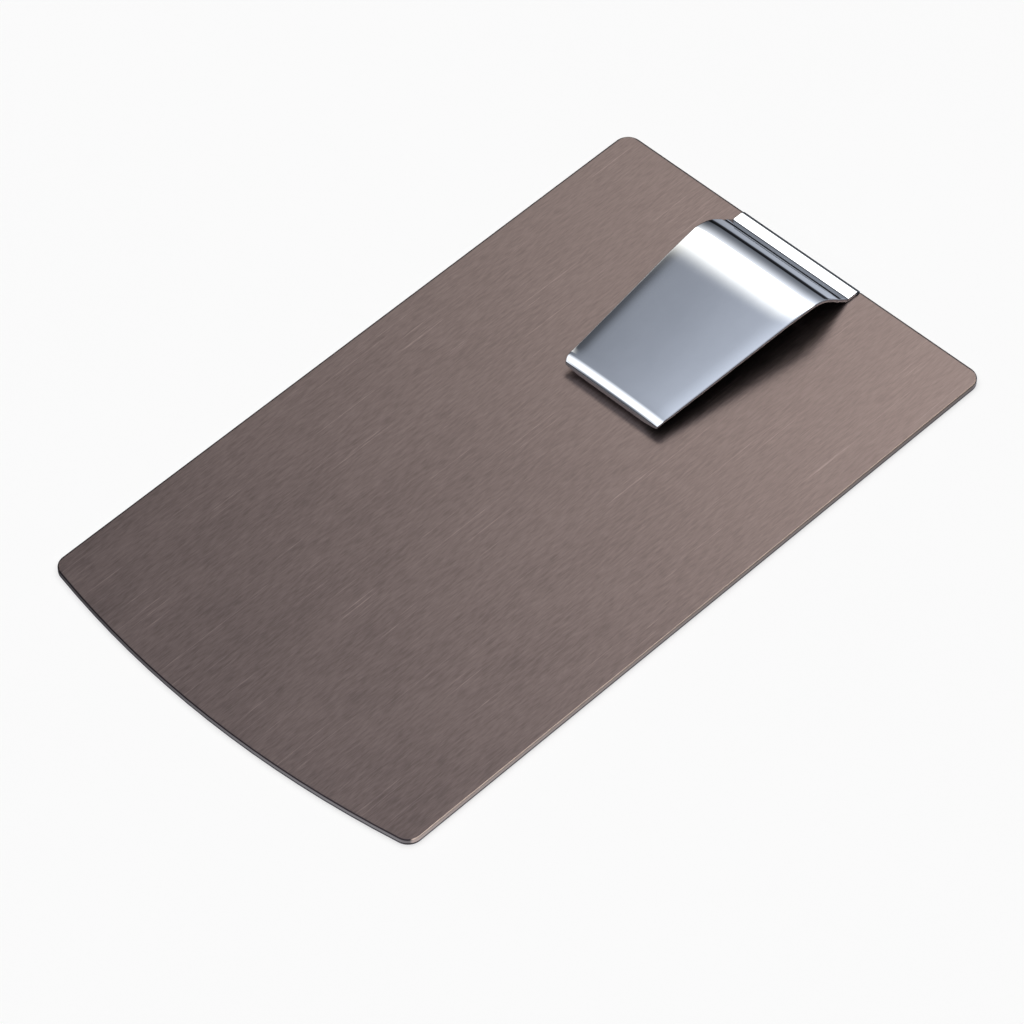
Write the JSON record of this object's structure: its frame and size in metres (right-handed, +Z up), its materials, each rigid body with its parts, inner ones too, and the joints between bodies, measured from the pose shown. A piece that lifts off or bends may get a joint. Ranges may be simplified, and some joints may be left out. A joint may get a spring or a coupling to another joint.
{
  "type": "money clip",
  "caption": "Flat brushed metal plate with a polished sprung sheet clip on its back edge that holds folded banknotes against it.",
  "frame": {"origin": "middle of the bounding box, on the plate's underside", "axes": "+Z up from the surface it lies on, +Y along the plate towards the edge that carries the clip, X across the plate"},
  "size_m": [0.06, 0.1028, 0.0056],
  "materials": {
    "plate_brushed": "fine brushing along the long side, warm grey",
    "clip_chrome": "mirror polished",
    "rivet_steel": "satin"
  },
  "bodies": {
    "plate": {"base_plate": "plate_brushed", "clip_anchor": "clip_chrome", "rivet_left": "rivet_steel", "rivet_right": "rivet_steel"},
    "leaf": {"clip_leaf": "clip_chrome"}
  },
  "joints": [
    {"name": "clip_lift", "type": "hinge", "parent": "plate", "child": "leaf", "pos_m": [0, 0.05145, 0.00076], "axis": [-1, 0, 0], "range_deg": [0, 16], "stiffness_Nm_per_rad": 1.2, "springref_deg": -0.57}
  ]
}
